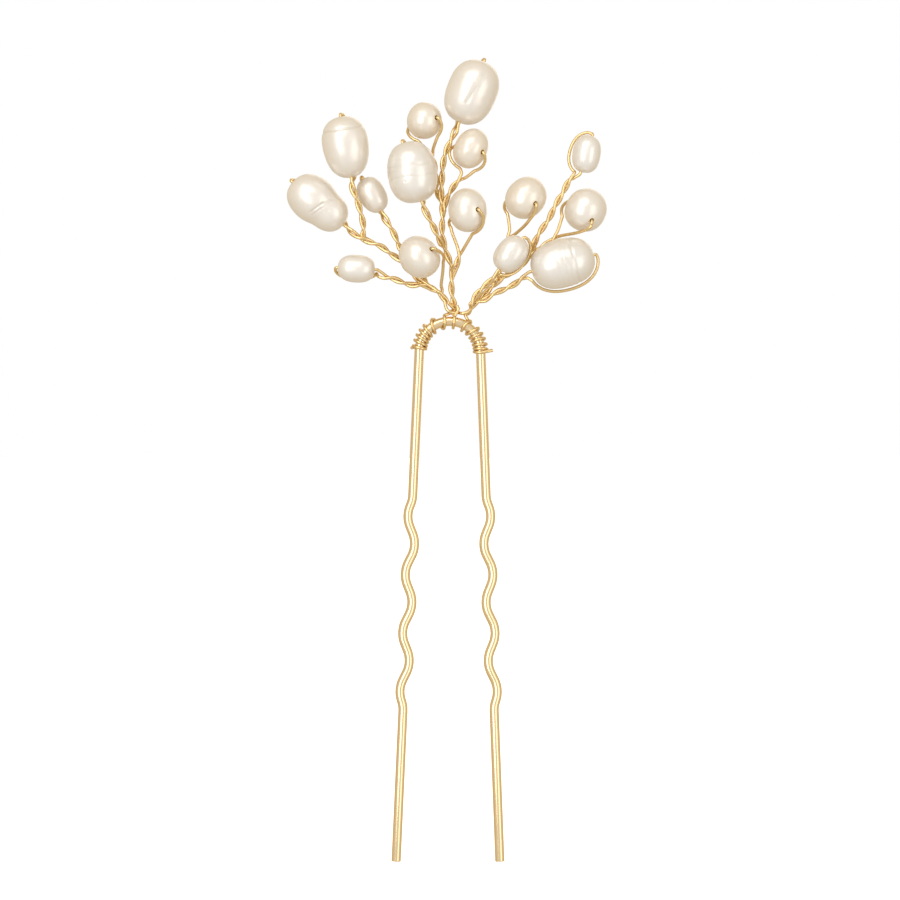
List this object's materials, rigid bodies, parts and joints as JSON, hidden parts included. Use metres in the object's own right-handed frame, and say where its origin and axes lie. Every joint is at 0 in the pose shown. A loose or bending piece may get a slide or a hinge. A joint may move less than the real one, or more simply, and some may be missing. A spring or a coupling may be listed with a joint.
{
  "type": "hair pin",
  "caption": "Two-legged U hair pin of wavy gold-coloured wire carrying three twisted-wire sprigs of small freshwater pearls above its bend.",
  "frame": {"origin": "midway between the two legs at the centre of the bend, where the pin stops against the hair", "axes": "+Z from the legs up to the pearls, +X to the viewer's right as the pin is shown, +Y to the wearer's side (the back)"},
  "size_m": [0.0401, 0.0092, 0.1005],
  "materials": {
    "pin_wire": "polished pale gold plate",
    "fine_wire": "polished pale gold plate",
    "pearl": "lustrous ivory nacre"
  },
  "bodies": {
    "root": {"pin": "pin_wire", "wrap_left": "fine_wire", "wrap_crown": "fine_wire", "wrap_right": "fine_wire", "stem_left_1": "fine_wire", "stem_left_2": "fine_wire", "stem_left_3": "fine_wire", "stem_left_4": "fine_wire", "stem_left_5": "fine_wire", "stem_centre_1": "fine_wire", "stem_centre_2": "fine_wire", "stem_centre_3": "fine_wire", "stem_centre_4": "fine_wire", "stem_centre_5": "fine_wire", "stem_right_1": "fine_wire", "stem_right_2": "fine_wire", "stem_right_3": "fine_wire", "stem_right_4": "fine_wire", "stem_right_5": "fine_wire"},
    "pearl_left_1": {"pearl_left_1": "pearl"},
    "pearl_left_2": {"pearl_left_2": "pearl"},
    "pearl_left_3": {"pearl_left_3": "pearl"},
    "pearl_left_4": {"pearl_left_4": "pearl"},
    "pearl_left_5": {"pearl_left_5": "pearl"},
    "pearl_centre_1": {"pearl_centre_1": "pearl"},
    "pearl_centre_2": {"pearl_centre_2": "pearl"},
    "pearl_centre_3": {"pearl_centre_3": "pearl"},
    "pearl_centre_4": {"pearl_centre_4": "pearl"},
    "pearl_centre_5": {"pearl_centre_5": "pearl"},
    "pearl_right_1": {"pearl_right_1": "pearl"},
    "pearl_right_2": {"pearl_right_2": "pearl"},
    "pearl_right_3": {"pearl_right_3": "pearl"},
    "pearl_right_4": {"pearl_right_4": "pearl"},
    "pearl_right_5": {"pearl_right_5": "pearl"}
  },
  "joints": [
    {"name": "left_1_turn", "type": "hinge", "parent": "root", "child": "pearl_left_1", "pos_m": [-0.0165, 0.0006, 0.0186], "axis": [-0.769, 0, 0.6392], "continuous": true},
    {"name": "left_2_turn", "type": "hinge", "parent": "root", "child": "pearl_left_2", "pos_m": [-0.013, -0.0005, 0.0256], "axis": [-0.1709, 0, 0.9853], "continuous": true},
    {"name": "left_3_turn", "type": "hinge", "parent": "root", "child": "pearl_left_3", "pos_m": [-0.0097, 0.0013, 0.0197], "axis": [-0.4983, 0, 0.867], "continuous": true},
    {"name": "left_4_turn", "type": "hinge", "parent": "root", "child": "pearl_left_4", "pos_m": [-0.0117, -0.0006, 0.0104], "axis": [-0.9988, 0, 0.0499], "continuous": true},
    {"name": "left_5_turn", "type": "hinge", "parent": "root", "child": "pearl_left_5", "pos_m": [-0.0038, -0.0025, 0.0118], "axis": [0.5824, -0.733, 0.3514], "continuous": true},
    {"name": "centre_1_turn", "type": "hinge", "parent": "root", "child": "pearl_centre_1", "pos_m": [0.0027, 0.0003, 0.0325], "axis": [0.3782, 0, 0.9257], "continuous": true},
    {"name": "centre_2_turn", "type": "hinge", "parent": "root", "child": "pearl_centre_2", "pos_m": [-0.0032, 0.0013, 0.029], "axis": [0.6816, -0.7217, 0.1203], "continuous": true},
    {"name": "centre_3_turn", "type": "hinge", "parent": "root", "child": "pearl_centre_3", "pos_m": [0.0026, -0.0009, 0.0254], "axis": [0.6415, -0.7317, -0.2305], "continuous": true},
    {"name": "centre_4_turn", "type": "hinge", "parent": "root", "child": "pearl_centre_4", "pos_m": [-0.0047, -0.0017, 0.0224], "axis": [-0.3102, 0, 0.9507], "continuous": true},
    {"name": "centre_5_turn", "type": "hinge", "parent": "root", "child": "pearl_centre_5", "pos_m": [0.0022, -0.001, 0.0177], "axis": [0.5026, -0.8645, 0], "continuous": true},
    {"name": "right_1_turn", "type": "hinge", "parent": "root", "child": "pearl_right_1", "pos_m": [0.017, 0.0012, 0.0178], "axis": [0.2708, -0.8025, -0.5317], "continuous": true},
    {"name": "right_2_turn", "type": "hinge", "parent": "root", "child": "pearl_right_2", "pos_m": [0.0171, 0.0012, 0.0248], "axis": [0.3102, 0, 0.9507], "continuous": true},
    {"name": "right_3_turn", "type": "hinge", "parent": "root", "child": "pearl_right_3", "pos_m": [0.0095, 0.0008, 0.0193], "axis": [0.4608, -0.8314, -0.3105], "continuous": true},
    {"name": "right_4_turn", "type": "hinge", "parent": "root", "child": "pearl_right_4", "pos_m": [0.0076, -0.0015, 0.0122], "axis": [0.6174, 0, 0.7867], "continuous": true},
    {"name": "right_5_turn", "type": "hinge", "parent": "root", "child": "pearl_right_5", "pos_m": [0.0141, -0.0006, 0.0111], "axis": [0.9659, 0, 0.2589], "continuous": true}
  ]
}
